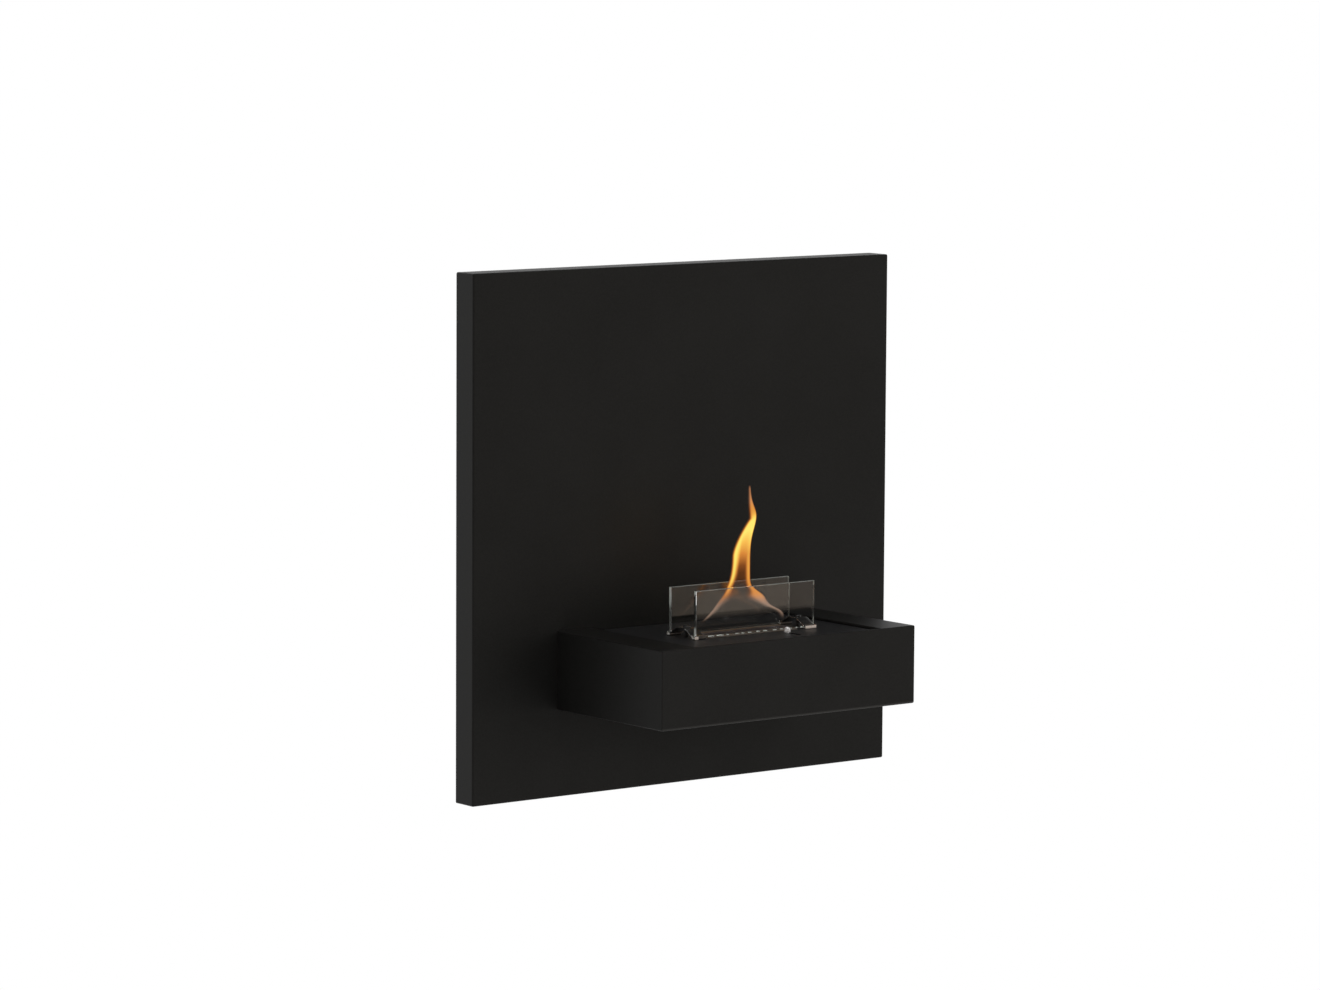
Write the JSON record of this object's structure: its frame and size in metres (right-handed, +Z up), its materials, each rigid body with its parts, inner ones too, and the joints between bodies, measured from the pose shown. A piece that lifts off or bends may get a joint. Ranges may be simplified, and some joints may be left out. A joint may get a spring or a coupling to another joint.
{
  "type": "wall-mounted fireplace",
  "caption": "Flueless ethanol fireplace: square black panel hung on a wall rail, with a box that carries a drop-in burner, a sliding shutter and glass panes either side of the flame.",
  "frame": {"origin": "midway between the wall rail's two screw slots, on the wall's face", "axes": "+X to the right as seen from the room, +Y into the wall, +Z up"},
  "size_m": [0.6, 0.2295, 0.6],
  "materials": {
    "panel_coat": "matte black powder coat",
    "casing_coat": "matte black powder coat",
    "deck_coat": "matte black heat-proof coat",
    "zinc_steel": "bright zinc plate",
    "burner_steel": "stainless steel tinted by heat",
    "stainless_steel": "brushed stainless steel",
    "polished_steel": "polished stainless steel",
    "clear_glass": "clear toughened glass with ground edges",
    "black_rubber": "matte rubber",
    "ceramic_fibre": "rough white ceramic fibre"
  },
  "bodies": {
    "wall_mount": {"wall_rail": "zinc_steel"},
    "fireplace": {"back_panel": "panel_coat", "panel_stiffener_left": "panel_coat", "panel_stiffener_right": "panel_coat", "hanging_rail": "panel_coat", "wall_bumpers": "black_rubber", "burner_casing": "casing_coat", "casing_bolts": "zinc_steel", "casing_nuts": "zinc_steel", "deck_front_angle": "casing_coat"},
    "burner_deck": {"deck_plate": "deck_coat", "deck_studs": "zinc_steel", "burner_nuts": "zinc_steel", "burner_cover": "burner_steel", "shutter_guide_left": "stainless_steel", "shutter_guide_right": "stainless_steel", "burner_tank": "stainless_steel", "overflow_tray": "stainless_steel", "fibre_block": "ceramic_fibre", "burner_mesh": "burner_steel", "glass_holder_left": "polished_steel", "glass_holder_right": "polished_steel", "holder_screws": "polished_steel", "glass_pads": "ceramic_fibre"},
    "shutter": {"shutter_leaf": "stainless_steel", "shutter_knob": "polished_steel"},
    "front_pane": {"glass_front": "clear_glass"},
    "rear_pane": {"glass_rear": "clear_glass"}
  },
  "joints": [
    {"name": "lift_off", "type": "slide", "parent": "wall_mount", "child": "fireplace", "axis": [0, 0, 1], "range_m": [0, 0.016]},
    {"name": "deck_lift", "type": "slide", "parent": "fireplace", "child": "burner_deck", "axis": [0, 0, 1], "range_m": [0, 0.1]},
    {"name": "shutter_slide", "type": "slide", "parent": "burner_deck", "child": "shutter", "axis": [0, -1, 0], "range_m": [0, 0.0212]},
    {"name": "front_pane_lift", "type": "slide", "parent": "burner_deck", "child": "front_pane", "axis": [0, 0, 1], "range_m": [0, 0.06]},
    {"name": "rear_pane_lift", "type": "slide", "parent": "burner_deck", "child": "rear_pane", "axis": [0, 0, 1], "range_m": [0, 0.06]}
  ]
}
